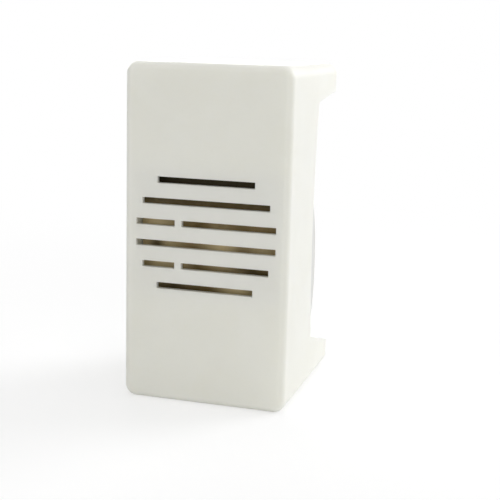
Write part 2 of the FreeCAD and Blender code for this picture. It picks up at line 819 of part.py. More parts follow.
def armature_spring():
    """Leaf spring: flat on the leg, bent round and down over the armature."""
    body = new_body("armature_spring")
    bend_depth = f"({armature_front} + spring_bend)"
    bend_height = f"({leg_outer} - spring_bend)"
    outer_bend = "(spring_bend + spring_thickness)"
    tongue_front = f"({armature_front} - spring_thickness)"
    tongue_end = f"({leg_outer} - tongue_length)"
    tail = f"({armature_rear} + spring_length)"
    top = f"({leg_outer} + spring_thickness)"
    corners = (
        (tail, leg_outer),
        (tail, top),
        (bend_depth, top),
        (tongue_front, bend_height),
        (tongue_front, tongue_end),
        (armature_front, tongue_end),
        (armature_front, bend_height),
        (bend_depth, leg_outer),
    )
    section = profile(body, "section")
    loop(section, corners, {2: (outer_bend, 1), 6: ("spring_bend", -1)})
    strip = pad_across(section, "spring_width")

    def tongue_corner(middle, edge):
        return near(middle.z, tongue_end) and near(abs(middle.x), "spring_width / 2")

    dress("Fillet", strip, "armature_round", tongue_corner)

    # The window leaves two narrow limbs at the bend, so that it flexes there
    window = facing(body, "bend_window", tongue_front)
    box(window, "-window_width / 2", "window_width / 2", f"({leg_outer} - window_length)", top)
    cut(window, f"{armature_rear} - {tongue_front} + window_length")
    tongue_holes = facing(body, "tongue_holes", tongue_front)
    leg_holes = new_sketch(body, "leg_holes", "XY_Plane", out=leg_outer)
    hole = "(rivet_radius + rivet_clearance)"
    for side in (-1, 1):
        across = f"({side} * rivet_offset)"
        circle(tongue_holes, across, f"({leg_inner} - armature_rivet_drop)", hole)
        circle(leg_holes, across, f"({armature_rear} + spring_rivet_setback)", hole)
    cut(tongue_holes, "spring_thickness")
    cut(leg_holes, "spring_thickness", reverse=True)


def spring_rivets():
    """Two rivets through the leg that hold the flat end of the spring."""
    body = new_body("spring_rivets")
    shank = "(yoke_thickness + spring_thickness)"
    steps = (
        ("rivet_radius", shank),
        ("rivet_head_radius", f"({shank} + rivet_head)"),
    )
    depth = f"({armature_rear} + spring_rivet_setback)"
    rivet = stud(body, depth, leg_inner, "rivet_offset", steps, axis="V_Axis")
    mirrored([rivet], "YZ_Plane")


def backstop_pad():
    """Rubber block on the cover that the armature's free end rests against."""
    body = new_body("backstop_pad")
    section = facing(body, "section", "front_wall")
    bottom = "(-pad_height - pad_tall / 2)"
    top = "(-pad_height + pad_tall / 2)"
    box(section, "-pad_width / 2", "pad_width / 2", bottom, top)
    pad_back(section, "armature_gap - pad_gap")


def fixing_recess(body, name, depth, across, height):
    """Cross recess in the head of a fixing screw."""
    for arm, wide, tall in (("level", "recess_length", "recess_width"),
                            ("upright", "recess_width", "recess_length")):
        sketch = facing(body, f"{name}_{arm}", depth)
        left = f"({across} - {wide} / 2)"
        right = f"({across} + {wide} / 2)"
        box(sketch, left, right, f"({height} - {tall} / 2)", f"({height} + {tall} / 2)")
        cut(sketch, "recess_depth")


def yoke_screws():
    """Two screws through the base into the yoke's back plate."""
    body = new_body("yoke_screws")
    shank = "(yoke_thickness + base_wall)"
    steps = (
        ("fixing_radius", shank),
        ("fixing_head_radius", f"({shank} + fixing_head)"),
    )
    height = "(coil_height + yoke_screw_rise)"
    screw = stud(body, yoke_front, height, "yoke_screw_offset", steps)
    mirrored([screw], "YZ_Plane")
    for side in (-1, 1):
        across = f"({side} * yoke_screw_offset)"
        depth = f"({block_rear} + fixing_head - recess_depth)"
        fixing_recess(body, "left" if side < 0 else "right", depth, across, height)


def base_screws():
    """Two self-tapping screws through the flange into the cover's bosses."""
    body = new_body("base_screws")
    shank = "(base_screw_reach + flange_wall)"
    steps = (
        ("fixing_radius", shank),
        ("fixing_head_radius", f"({shank} + fixing_head)"),
    )
    screw = stud(body, "flange_depth - base_screw_reach", boss_height, "0", steps)
    mirrored([screw], "XY_Plane")
    for side in (-1, 1):
        height = f"({side} * {boss_height})"
        depth = f"({flange_rear} + fixing_head - recess_depth)"
        fixing_recess(body, "lower" if side < 0 else "upper", depth, "0", height)


def terminal_plate(name, side):
    """Brass plate with a tapped collar and a tail bent forward through the base."""
    body = new_body(f"terminal_plate_{name}")
    across = f"({side} * {terminal_across})"
    section = profile(body, "plate", across=across)
    box(section, "terminal_depth", terminal_rear, terminal_bottom, tail_top)
    pad_across(section, f"2 * {terminal_half}")
    collar = facing(body, "collar", "terminal_depth - collar_length")
    circle(collar, across, screw_height, "collar_radius")
    pad_back(collar, "collar_length + terminal_thickness / 2")
    tail = facing(body, "tail", "terminal_depth - tail_length")
    inner = f"({side} * {tail_inner})"
    outer = f"({side} * ({tail_inner} + tail_width))"
    left, right = (inner, outer) if side > 0 else (outer, inner)
    box(tail, left, right, f"({tail_top} - terminal_thickness)", tail_top)
    pad_back(tail, "tail_length + terminal_thickness / 2")
    tapping = facing(body, "tapping", "terminal_depth - collar_length")
    circle(tapping, across, screw_height, "thread_radius")
    cut(tapping, "collar_length + terminal_thickness")


def clamp_plate(name, side):
    """Square clamp under the screw's head, its two lips either side of the terminal plate."""
    body = new_body(f"clamp_plate_{name}")
    across = f"({side} * {terminal_across})"
    low = f"({screw_height} - clamp_tall / 2)"
    high = f"({screw_height} + clamp_tall / 2)"
    saddle = new_sketch(body, "saddle", "XY_Plane", across=across, out=low)
    lip_inner = f"({clamp_half} - lip_wall)"
    lip_end = f"({terminal_rear} - lip_reach)"
    corners = (
        (minus(clamp_half), lip_end),
        (minus(lip_inner), lip_end),
        (minus(lip_inner), terminal_rear),
        (lip_inner, terminal_rear),
        (lip_inner, lip_end),
        (clamp_half, lip_end),
        (clamp_half, clamp_rear),
        (minus(clamp_half), clamp_rear),
    )
    loop(saddle, corners)
    pad(saddle, "clamp_tall")
    hole = facing(body, "screw_hole", terminal_rear)
    circle(hole, across, screw_height, "clamp_hole_radius")
    cut(hole, "clamp_thickness")


def terminal_screw(name, side):
    """Cheese-head screw that presses the clamp on the wire."""
    body = new_body(f"terminal_screw_{name}")
    across = f"({side} * {terminal_across})"
    steps = (
        ("(thread_radius - thread_clearance)", "screw_length"),
        ("head_radius", "(screw_length + head_height)"),
    )
    stud(body, f"({clamp_rear} - screw_length)", screw_height, across, steps)
    slot = facing(body, "driver_slot", f"({clamp_rear} + head_height - head_slot_depth)")
    left = f"({across} - head_radius)"
    right = f"({across} + head_radius)"
    low = f"({screw_height} - head_slot_width / 2)"
    high = f"({screw_height} + head_slot_width / 2)"
    box(slot, left, right, low, high)
    cut(slot, "head_slot_depth")


def coil_lead(name, side):
    """Thin wire from a bobbin pin down and outwards to the terminal's tail."""
    depth = value("terminal_depth - tail_length + lead_setback")
    pin_foot = value(f"{pin_height} - pin_size / 2")
    pin_across = value("pin_offset")
    tail_across = value(tail_inner)
    tail_middle = value(f"{tail_top} - terminal_thickness / 2")
    step = (pin_foot - tail_middle) / 2
    route = (
        V(pin_across, depth, pin_foot),
        V(pin_across, depth, tail_middle + step),
        V(pin_across + step, depth, tail_middle),
        V(tail_across, depth, tail_middle),
    )
    route = [V(side * point.x, point.y, point.z) for point in route]
    radius = value("lead_radius")
    path = tangent_path(route, f"coil_lead_{name}", radius)
    start = Part.Wire(Part.makeCircle(radius, route[0], route[1] - route[0]))
    lead = doc.addObject("Part::Feature", f"coil_lead_{name}")
    lead.Shape = path.makePipeShell([start], True, False)
    lead.Label = f"coil_lead_{name}"
    lead.Placement = FreeCAD.Placement(
        V(0, value("-overall_depth / 2"), value(half_height)), FreeCAD.Rotation()
    )
    straight = math.pi * radius ** 2 * path.Length
    print(f"coil_lead_{name}: volume {lead.Shape.Volume:.4f}, section times length {straight:.4f}")
    pieces.append(lead)


def tangent_path(route, label, wire_radius):
    """Straight runs joined by tangent arcs. Each arc takes a share of the shorter run beside it."""
    arc_share = 0.45
    edges = []
    last = route[0]
    for before, corner, after in zip(route, route[1:], route[2:]):
        arriving = corner - before
        leaving = after - corner
        shorter = min(arriving.Length, leaving.Length)
        half_turn = arriving.getAngle(leaving) / 2
        radius = arc_share * shorter / math.tan(half_turn)
        print(f"{label}: arc radius {radius:.2f}, {radius / wire_radius / 2:.1f} wire diameters")
        enter = corner - arriving.normalize() * arc_share * shorter
        leave = corner + leaving.normalize() * arc_share * shorter
        inward = ((enter + leave) / 2 - corner).normalize()
        middle = corner + inward * radius * (1 / math.cos(half_turn) - 1)
        edges.append(Part.LineSegment(last, enter).toShape())
        edges.append(Part.Arc(enter, middle, leave).toShape())
        last = leave
    edges.append(Part.LineSegment(last, route[-1]).toShape())
    return Part.Wire(edges)


front_cover()
rear_base()
yoke_frame()
coil_core()
coil_bobbin()
wire_inside = "(core_radius + core_clearance + hub_wall + wrap_clearance)"
tape_inside = "(winding_radius + wrap_clearance)"
wrap("coil_winding", wire_inside, "winding_radius")
wrap("coil_tape", tape_inside, f"({tape_inside} + tape_thickness)")
bobbin_pins()
armature()
armature_spring()
armature_rivets()
spring_rivets()
backstop_pad()
yoke_screws()
base_screws()
for hand, direction in (("left", -1), ("right", 1)):
    terminal_plate(hand, direction)
    clamp_plate(hand, direction)
    terminal_screw(hand, direction)
    coil_lead(hand, direction)
doc.recompute()

for item in doc.Objects:
    if "Invalid" in item.State or "Error" in item.State:
        raise RuntimeError(f"{item.Label} failed: {item.State}")
for piece in pieces:
    if piece.Shape.isNull() or not piece.Shape.isValid():
        raise RuntimeError(f"{piece.Label} has no valid shape")

os.makedirs("parts", exist_ok=True)
for piece in pieces:
    piece.Shape.exportStep(os.path.join("parts", f"{piece.Label}.step"))
    size = piece.Shape.BoundBox
    print(
        f"{piece.Label}: {len(piece.Shape.Solids)} solid(s), {piece.Shape.Volume:.2f} mm3, "
        f"x {size.XMin:.2f} to {size.XMax:.2f}, y {size.YMin:.2f} to {size.YMax:.2f}, "
        f"z {size.ZMin:.2f} to {size.ZMax:.2f}"
    )
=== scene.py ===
import math

import bmesh
import bpy
from bpy.props import FloatProperty, FloatVectorProperty, IntProperty, PointerProperty
from mathutils import Matrix, Vector


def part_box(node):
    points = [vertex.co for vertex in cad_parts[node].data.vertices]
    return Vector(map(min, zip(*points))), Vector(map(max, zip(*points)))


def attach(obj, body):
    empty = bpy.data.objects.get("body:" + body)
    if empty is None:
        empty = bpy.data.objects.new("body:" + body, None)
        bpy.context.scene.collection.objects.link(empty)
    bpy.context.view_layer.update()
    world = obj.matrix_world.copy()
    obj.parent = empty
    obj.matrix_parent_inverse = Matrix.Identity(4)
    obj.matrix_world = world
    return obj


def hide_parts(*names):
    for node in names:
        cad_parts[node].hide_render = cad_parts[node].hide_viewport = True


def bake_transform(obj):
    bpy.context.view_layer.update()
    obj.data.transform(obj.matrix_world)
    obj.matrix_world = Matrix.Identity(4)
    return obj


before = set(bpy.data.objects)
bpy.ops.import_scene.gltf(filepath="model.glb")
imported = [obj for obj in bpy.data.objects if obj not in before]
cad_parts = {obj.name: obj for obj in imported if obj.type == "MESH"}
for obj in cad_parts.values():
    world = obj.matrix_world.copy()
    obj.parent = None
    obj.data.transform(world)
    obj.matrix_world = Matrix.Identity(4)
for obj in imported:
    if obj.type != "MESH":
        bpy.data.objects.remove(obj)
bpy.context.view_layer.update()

bl_info = {
    "name": "Electric buzzer",
    "version": (1, 0, 0),
    "blender": (4, 5, 0),
    "location": "3D View > Sidebar > Buzzer",
    "description": "Dresses a one-module electric buzzer and lights it in a plain studio",
    "category": "Object",
}

# Places the whole module shares, read from the solids
cover_low, cover_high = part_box("front_cover")
middle_height = (cover_low.z + cover_high.z) / 2
armature_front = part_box("armature")[0].y

# Directions of round pieces, angles, and the gap under which two corners are one
BACKWARD = (0, 1, 0)
UPWARD = (0, 0, 1)
FULL_TURN = 2 * math.pi
SHARP_ANGLE = math.radians(32)
FLAT_ANGLE = math.radians(0.4)
MERGE_GAP = 1e-7


# Settings
def length(name, description, default):
    return FloatProperty(
        name=name, description=description, default=default, min=0, unit="LENGTH", precision=5
    )


def angle(name, description, default):
    return FloatProperty(name=name, description=description, default=default, subtype="ANGLE")


def power(name, description, default):
    return FloatProperty(name=name, description=description, default=default, min=0, unit="POWER")


def colour(name, description, default):
    return FloatVectorProperty(
        name=name, description=description, default=default, size=4, min=0, max=1, subtype="COLOR"
    )


class BuzzerShellSettings(bpy.types.PropertyGroup):
    """The white cover and the light grey base behind it."""

    edge_round: length("Edge rounding", "Radius of the moulded edges", 0.00012)
    cover_white: colour("Cover", "Colour of the cover", (0.895, 0.893, 0.832, 1))
    cover_shade: colour("Cover shade", "Second tone of the cover", (0.875, 0.871, 0.805, 1))
    base_grey: colour("Base", "Colour of the rear base", (0.7, 0.7, 0.68, 1))
    base_shade: colour("Base shade", "Second tone of the rear base", (0.66, 0.66, 0.64, 1))


class BuzzerMagnetSettings(bpy.types.PropertyGroup):
    """The armature, its spring, rivets and rubber stop, and the electromagnet."""

    sheet_round: length("Sheet edge", "Rounding of punched edges", 0.00006)
    rivet_round: length("Rivet edge", "Rounding of the rivets' edges", 0.00003)
    pad_round: length("Stop edge", "Rounding of the rubber stop", 0.00015)
    wire_radius: length("Winding wire", "Radius of the wire on the bobbin", 0.00012)
    tape_round: length("Tape edge", "Rounding of the tape's edges", 0.00002)
    tape_lap: angle("Tape overlap", "Angle over which the tape lies double", 0.9)
    olive: colour("Passivation", "Main colour of the passivated armature", (0.19, 0.136, 0.056, 1))
    bronze: colour("Thin film", "Thinly coated patches of the armature", (0.29, 0.217, 0.106, 1))
    straw: colour("Stains", "Pale stains of the armature", (0.72, 0.6, 0.37, 1))
    # A dark tone painted over the armature's top as shade
    painted_top_shade: colour("Top shade", "Painted shade over the armature's top", (0.048, 0.039, 0.021, 1))
    copper: colour("Enamel", "Colour of the enamelled wire", (0.6, 0.25, 0.1, 1))


class BuzzerTerminalSettings(bpy.types.PropertyGroup):
    """Terminals, clamps and all screws."""

    metal_round: length("Metal edge", "Rounding of turned and pressed edges", 0.00008)
    thread_pitch: length("Thread pitch", "Pitch of the terminal screws", 0.0005)
    thread_depth: length("Thread depth", "Depth of the terminal screws' thread", 0.00022)
    terminal_radius: length("Terminal screw", "Radius over the terminal screws' thread", 0.00145)
    terminal_head: length("Terminal head", "Height of the terminal screws' head", 0.0017)
    fixing_radius: length("Fixing screw", "Radius over the fixing screws' thread", 0.0012)
    fixing_head: length("Fixing head", "Height of the fixing screws' head", 0.0015)
    machine_pitch: length("Machine pitch", "Pitch of the screws in the yoke", 0.00045)
    machine_depth: length("Machine depth", "Depth of the thread in the yoke", 0.00017)
    tapping_pitch: length("Tapping pitch", "Pitch of the self-tapping screws", 0.0009)
    tapping_depth: length("Tapping depth", "Depth of the self-tapping thread", 0.00034)
    tapping_tip: length("Tapping point", "Radius at the self-tapping screws' point", 0.0003)
    round_steps: IntProperty(
        name="Steps", description="Steps in one turn of a round piece", default=48, min=12
    )


class BuzzerStudioSettings(bpy.types.PropertyGroup):
    """Floor, lamps and camera."""

    floor_size: length("Floor", "Side of the floor", 4.0)
    side_power: power("Side lamp", "Power of the lamp at the right", 3.0)
    front_power: power("Front lamp", "Power of the lamp in front", 2.12)
    left_power: power("Left lamp", "Power of the lamp at the left", 0.9)
    top_power: power("Top lamp", "Power of the lamp above", 1.85)
    rear_power: power("Rear lamp", "Power of the lamp behind", 1.3)
    ambient: FloatProperty(name="Ambient", description="Light from all round", default=0.2)
    lens: FloatProperty(
        name="Lens", description="Focal length on a 36 mm sensor", default=77.12, unit="CAMERA"
    )
    azimuth: angle("Azimuth", "Camera's turn to the right", math.radians(16.34))
    elevation: angle("Elevation", "Camera's rise", math.radians(11.33))
    roll: angle("Roll", "Camera's roll", math.radians(1.52))
    camera_place: FloatVectorProperty(
        name="Camera",
        description="Where the camera stands",
        default=(0.04401, -0.14151, 0.04859),
        unit="LENGTH",
    )


def settings(group):
    """The scene's settings of one group: shell, magnet, terminal or studio."""
    return getattr(bpy.context.scene, f"buzzer_{group}")


def colour_of(group, name):
    return tuple(getattr(settings(group), name))


def darkened(tone, share):
    """A colour with each part lowered to a share of itself."""
    return tuple(share * part for part in tone[:3]) + (1,)


# Material nodes
def put(tree, kind, options=None, **inputs):
    """A shader node, its options set and each input given a value or joined to a socket."""
    node = tree.nodes.new(f"ShaderNode{kind}")
    for name, given in (options or {}).items():
        setattr(node, name, given)
    for name, given in inputs.items():
        join(tree, given, node.inputs[name.replace("_", " ")])
    return node


def join(tree, given, socket):
    """Link a socket to the given one, or set it to the given value."""
    if isinstance(given, bpy.types.NodeSocket):
        tree.links.new(given, socket)
    else:
        socket.default_value = given


def calculate(tree, operation, first, second):
    """The result of a Math node on two numbers."""
    node = put(tree, "Math", {"operation": operation})
    join(tree, first, node.inputs[0])
    join(tree, second, node.inputs[1])
    return node.outputs[0]


def vector_math(tree, operation, *vectors):
    """A VectorMath node on one vector or two."""
    node = put(tree, "VectorMath", {"operation": operation})
    for vector, socket in zip(vectors, node.inputs):
        join(tree, vector, socket)
    return node


def mix_colours(tree, share, first, second):
    """Two colours mixed. The sockets go by number, because a Mix node repeats their names."""
    node = put(tree, "Mix", {"data_type": "RGBA"})
    for number, given in ((0, share), (6, first), (7, second)):
        join(tree, given, node.inputs[number])
    return node.outputs[2]


def mix_shaders(tree, share, first, second):
    node = put(tree, "MixShader", Fac=share)
    join(tree, first.outputs[0], node.inputs[1])
    join(tree, second.outputs[0], node.inputs[2])
    return node


def spread(tree, number, low, high, to_low=0.0, to_high=1.0):
    """The range low to high stretched smoothly to another range, and held at its ends."""
    options = {"interpolation_type": "SMOOTHSTEP"}
    node = put(tree, "MapRange", options, Value=number, From_Min=low, From_Max=high,
               To_Min=to_low, To_Max=to_high)
    return node.outputs["Result"]


def new_group(name, inputs, outputs):
    """An empty node group with named sockets. Returns it with its inner input and output nodes."""
    group = bpy.data.node_groups.new(name, "ShaderNodeTree")
    for label, kind, default in inputs:
        socket = group.interface.new_socket(label, in_out="INPUT", socket_type=f"NodeSocket{kind}")
        if default is not None:
            socket.default_value = default
    for label, kind in outputs:
        group.interface.new_socket(label, in_out="OUTPUT", socket_type=f"NodeSocket{kind}")
    return group, group.nodes.new("NodeGroupInput"), group.nodes.new("NodeGroupOutput")


def moulded_surface():
    """Grain and faint flow marks of moulded plastic."""
    if "Moulded Surface" in bpy.data.node_groups:
        return bpy.data.node_groups["Moulded Surface"]
    group, given, result = new_group(
        "Moulded Surface",
        (
            ("Place", "Vector", None),
            ("Colour", "Color", (0.9, 0.9, 0.87, 1)),
            ("Shade", "Color", (0.86, 0.85, 0.82, 1)),
            ("Grain Scale", "Float", 9000.0),
            ("Smooth", "Float", 0.34),
            ("Rough", "Float", 0.46),
        ),
        (("Colour", "Color"), ("Roughness", "Float"), ("Height", "Float")),
    )
    place = given.outputs["Place"]
    grain = put(group, "TexNoise", Vector=place, Scale=given.outputs["Grain Scale"], Detail=2.0)
    flow = put(group, "TexNoise", Vector=place, Scale=140.0, Detail=3.0, Distortion=0.6)
    speck = put(group, "TexNoise", Vector=place, Scale=2600.0, Detail=1.0)
    clouds = spread(group, flow.outputs[0], low=0.35, high=0.7, to_high=0.7)
    dots = spread(group, speck.outputs[0], low=0.5, high=0.8, to_high=0.3)
    tone = calculate(group, "ADD", clouds, dots)
    colours = mix_colours(group, tone, given.outputs["Colour"], given.outputs["Shade"])
    rough = spread(group, flow.outputs[0], low=0.3, high=0.7,
                   to_low=given.outputs["Smooth"], to_high=given.outputs["Rough"])
    flow_relief = 1.6
    wave = calculate(group, "MULTIPLY", flow.outputs[0], flow_relief)
    join(group, colours, result.inputs["Colour"])
    join(group, rough, result.inputs["Roughness"])
    join(group, calculate(group, "ADD", grain.outputs[0], wave), result.inputs["Height"])
    return group


def worked_metal():
    """Rolling marks along one direction over soft patches of two tones."""
    if "Worked Metal" in bpy.data.node_groups:
        return bpy.data.node_groups["Worked Metal"]
    group, given, result = new_group(
        "Worked Metal",
        (
            ("Place", "Vector", None),
            ("Colour", "Color", (0.7, 0.7, 0.68, 1)),
            ("Patch", "Color", (0.5, 0.5, 0.48, 1)),
            ("Stretch", "Vector", (1.0, 1.0, 1.0)),
            ("Streak Scale", "Float", 2500.0),
            ("Patch Scale", "Float", 350.0),
            ("Smooth", "Float", 0.25),
            ("Rough", "Float", 0.45),
        ),
        (("Colour", "Color"), ("Roughness", "Float"), ("Height", "Float")),
    )
    place = given.outputs["Place"]
    drawn = vector_math(group, "MULTIPLY", place, given.outputs["Stretch"]).outputs[0]
    streak = put(group, "TexNoise", Vector=drawn, Scale=given.outputs["Streak Scale"], Detail=4.0)
    patch = put(group, "TexNoise", Vector=place, Scale=given.outputs["Patch Scale"], Detail=4.0,
                Distortion=1.2)
    patch_share = 0.75
    patches = spread(group, patch.outputs[0], low=0.4, high=0.62)
    patches = calculate(group, "MULTIPLY", patches, patch_share)
    lines = spread(group, streak.outputs[0], low=0.45, high=0.75, to_high=1 - patch_share)
    tint = calculate(group, "ADD", patches, lines)
    colours = mix_colours(group, tint, given.outputs["Colour"], given.outputs["Patch"])
    rough = spread(group, streak.outputs[0], low=0.3, high=0.7,
                   to_low=given.outputs["Smooth"], to_high=given.outputs["Rough"])
    join(group, colours, result.inputs["Colour"])
    join(group, rough, result.inputs["Roughness"])
    join(group, streak.outputs[0], result.inputs["Height"])
    return group


def edge_wear():
    """Colour that is lighter where handling has rubbed the edges."""
    if "Edge Wear" in bpy.data.node_groups:
        return bpy.data.node_groups["Edge Wear"]
    group, given, result = new_group(
        "Edge Wear",
        (
            ("Place", "Vector", None),
            ("Colour", "Color", (0.5, 0.5, 0.5, 1)),
            ("Rubbed", "Color", (0.9, 0.9, 0.9, 1)),
            ("Amount", "Float", 0.4),
            ("Width", "Float", 0.00018),
        ),
        (("Colour", "Color"),),
    )
    rounded = put(group, "Bevel", {"samples": 4}, Radius=given.outputs["Width"])
    flat = put(group, "NewGeometry").outputs["Normal"]
    facing = vector_math(group, "DOT_PRODUCT", rounded.outputs[0], flat).outputs["Value"]
    broken = put(group, "TexNoise", Vector=given.outputs["Place"], Scale=900.0, Detail=3.0)
    edge = spread(group, facing, low=0.75, high=0.97, to_low=1.0, to_high=0.0)
    gaps = spread(group, broken.outputs[0], low=0.35, high=0.6)
    share = calculate(group, "MULTIPLY", edge, gaps)
    share = calculate(group, "MULTIPLY", share, given.outputs["Amount"])
    colours = mix_colours(group, share, given.outputs["Colour"], given.outputs["Rubbed"])
    join(group, colours, result.inputs["Colour"])
    return group


def recess_painted_shade():
    """Painted shade: colour that is darker in slots, corners and recesses, where little light
    reaches.
    """
    if "Recess Dirt" in bpy.data.node_groups:
        return bpy.data.node_groups["Recess Dirt"]
    group, given, result = new_group(
        "Recess Dirt",
        (
            ("Colour", "Color", (0.5, 0.5, 0.5, 1)),
            ("Dirt", "Color", (0.06, 0.055, 0.045, 1)),
            ("Amount", "Float", 0.8),
            ("Reach", "Float", 0.0007),
        ),
        (("Colour", "Color"),),
    )
    options = {"samples": 8, "only_local": True}
    # The less open space round a point, the more painted shade it gets
    open_space = put(group, "AmbientOcclusion", options, Distance=given.outputs["Reach"])
    share = spread(group, open_space.outputs["AO"], low=0.4, high=0.92, to_low=1.0, to_high=0.0)
    share = calculate(group, "MULTIPLY", share, given.outputs["Amount"])
    colours = mix_colours(group, share, given.outputs["Colour"], given.outputs["Dirt"])
    join(group, colours, result.inputs["Colour"])
    return group


# Finishes
def opened(finish):
    """A finish's tree, its Principled shader and a new Object place in it."""
    tree = finish.node_tree
    return tree, tree.nodes["Principled BSDF"], put(tree, "TexCoord").outputs["Object"]


def new_finish(name):
    """An empty material. Returns it with its tree, its Principled shader and its Object place."""
    finish = bpy.data.materials.new(name)
    finish.use_nodes = True
    return finish, *opened(finish)


def use_group(tree, group, **inputs):
    return put(tree, "Group", {"node_tree": group}, **inputs)


def raise_grain(tree, shader, height, distance, strength=0.5):
    """Add relief to the relief that the shader already has."""
    bump = put(tree, "Bump", Strength=strength, Distance=distance, Height=height)
    normal = shader.inputs["Normal"]
    if normal.is_linked:
        join(tree, normal.links[0].from_socket, bump.inputs["Normal"])
    join(tree, bump.outputs[0], normal)


# How far light spreads inside a thin plastic wall, and the share of red, green and blue in that
GLOW_REACH = 0.0014
GLOW_SPREAD = (1.0, 0.98, 0.92)


def moulded(name, tone, shade, smooth=0.36, rough=0.48, grain=9000.0, depth=0.00001,
            rubbed=(0.95, 0.95, 0.93, 1), glow=0.0):
    """Moulded plastic. Its glow is the share of light that spreads inside a thin wall."""
    if name in bpy.data.materials:
        return bpy.data.materials[name]
    finish, tree, shader, place = new_finish(name)
    body = use_group(tree, moulded_surface(), Place=place, Colour=tone, Shade=shade,
                     Grain_Scale=grain, Smooth=smooth, Rough=rough)
    worn = use_group(tree, edge_wear(), Place=place, Colour=body.outputs["Colour"],
                     Rubbed=rubbed, Amount=0.3)
    join(tree, worn.outputs["Colour"], shader.inputs["Base Color"])
    join(tree, body.outputs["Roughness"], shader.inputs["Roughness"])
    shader.inputs["IOR"].default_value = 1.5
    shader.inputs["Subsurface Weight"].default_value = glow
    shader.inputs["Subsurface Radius"].default_value = GLOW_SPREAD
    shader.inputs["Subsurface Scale"].default_value = GLOW_REACH
    raise_grain(tree, shader, body.outputs["Height"], depth, strength=0.35)
    return finish


def metal(name, tone, patch, rubbed, stretch=(1, 1, 1), streak=2500.0, patches=350.0,
          smooth=0.25, rough=0.42, wear=0.5, edge=0.00018, dirt=0.3, depth=0.000006):
    """Rolled, pressed or plated metal, with painted shade in its recesses."""
    if name in bpy.data.materials:
        return bpy.data.materials[name]
    finish, tree, shader, place = new_finish(name)
    body = use_group(tree, worked_metal(), Place=place, Colour=tone, Patch=patch, Stretch=stretch,
                     Streak_Scale=streak, Patch_Scale=patches, Smooth=smooth, Rough=rough)
    worn = use_group(tree, edge_wear(), Place=place, Colour=body.outputs["Colour"],
                     Rubbed=rubbed, Amount=wear, Width=edge)
    # Painted shade: the colour darkens in slots, corners and recesses
    recess_shaded = use_group(tree, recess_painted_shade(), Colour=worn.outputs["Colour"], Amount=dirt)
    join(tree, recess_shaded.outputs["Colour"], shader.inputs["Base Color"])
    join(tree, body.outputs["Roughness"], shader.inputs["Roughness"])
    shader.inputs["Metallic"].default_value = 1.0
    raise_grain(tree, shader, body.outputs["Height"], depth)
    return finish


def turned_metal(name, tone, patch, rubbed, axis, centre):
    """Turned metal, with fine tool rings about an axis, "Y" or "Z", through a centre."""
    if name in bpy.data.materials:
        return bpy.data.materials[name]
    finish = metal(name, tone, patch, rubbed, smooth=0.2, rough=0.36)
    tree, shader, place = opened(finish)
    shifted = put(tree, "Mapping", Vector=place, Location=tuple(-number for number in centre))
    options = {"wave_type": "RINGS", "rings_direction": axis}
    rings = put(tree, "TexWave", options, Vector=shifted.outputs[0], Scale=900.0, Distortion=0.4,
                Detail=1.0)
    raise_grain(tree, shader, rings.outputs["Fac"], distance=0.000005, strength=0.4)
    return finish


def cover_plastic():
    return moulded("moulded_white", colour_of("shell", "cover_white"),
                   colour_of("shell", "cover_shade"), glow=0.6)


def base_plastic():
    return moulded("moulded_base", colour_of("shell", "base_grey"),
                   colour_of("shell", "base_shade"), smooth=0.42, rough=0.55)


def nylon():
    return moulded("nylon", (0.82, 0.79, 0.7, 1), (0.76, 0.72, 0.61, 1),
                   smooth=0.3, rough=0.42, grain=6000.0)


def rubber():
    return moulded("black_rubber", (0.035, 0.035, 0.036, 1), (0.05, 0.05, 0.05, 1),
                   smooth=0.7, rough=0.85, grain=4000.0, depth=0.00003,
                   rubbed=(0.16, 0.16, 0.16, 1))


def stain(tree, place, middle, reach, under, tone, strength=0.92):
    """Colour with a soft round stain of a tone over it, strongest in the middle."""
    away = vector_math(tree, "DISTANCE", place, middle).outputs["Value"]
    share = spread(tree, away, low=0.0, high=reach, to_low=strength, to_high=0.0)
    return mix_colours(tree, share, under, tone)


# The armature's stains, from the module's middle: across, height and reach in mm, and tone
STAINS = (
    (-8.5, 1.2, 5.5, "straw"),
    (-7.0, -4.3, 6.2, "straw"),
    (1.5, -1.6, 4.6, "straw"),
    (6.8, -1.6, 3.2, "straw"),
    (5.5, -4.6, 4.5, "dull"),
    (-7.6, -1.6, 1.9, "dull"),
    (7.0, 1.3, 5.0, "bronze"),
    (-5.0, -7.3, 4.2, "dull"),
    (3.5, -7.3, 4.0, "straw"),
)

# Heights over the module's middle between which painted shade sets in over the armature's top
TOP_SHADE_START = 0.002
TOP_SHADE_FULL = 0.0065


